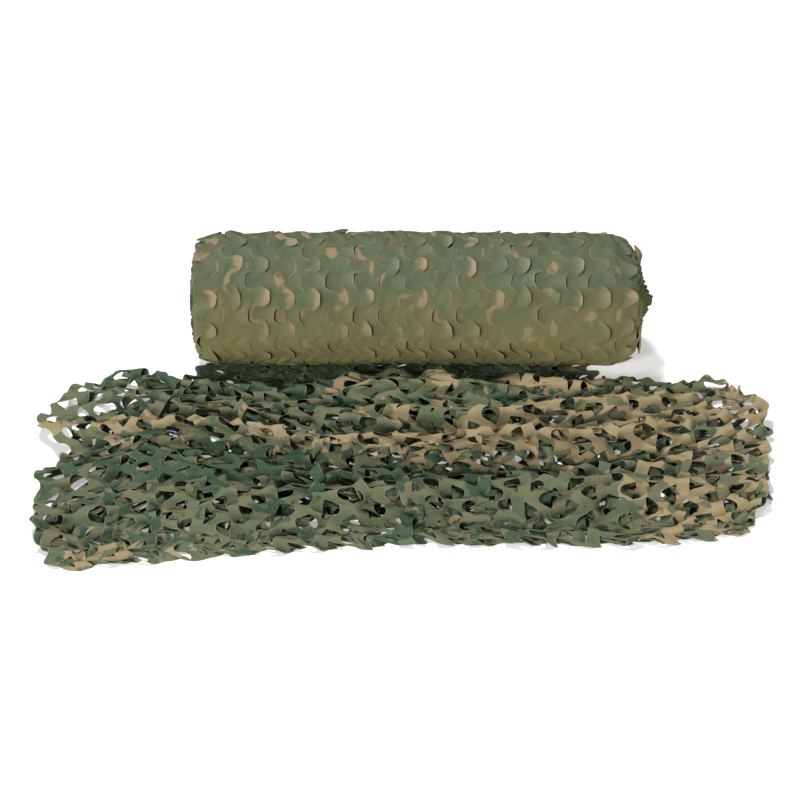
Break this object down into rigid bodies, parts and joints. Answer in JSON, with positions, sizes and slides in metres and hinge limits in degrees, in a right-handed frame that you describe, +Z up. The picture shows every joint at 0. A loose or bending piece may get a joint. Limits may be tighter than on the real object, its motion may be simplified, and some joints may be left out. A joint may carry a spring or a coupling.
{
  "type": "camouflage net",
  "caption": "Bulk roll of incised camouflage netting with its free end drawn out, spread wide and bunched in folds on the floor.",
  "frame": {"origin": "middle of the footprint, on the floor that the net lies on", "axes": "+X along the roll, +Y from the spread end back to the roll, +Z up from the floor"},
  "size_m": [2.314, 1.435, 0.4133],
  "materials": {
    "wound_net": "matt coated nylon, woodland print in olive, sage and tan, leaf cuts nearly closed",
    "spread_net": "matt coated nylon, woodland print in tan, olive and sage, dark green underside"
  },
  "bodies": {
    "root": {"net_roll": "wound_net", "net_loose_end": "spread_net"}
  },
  "joints": []
}
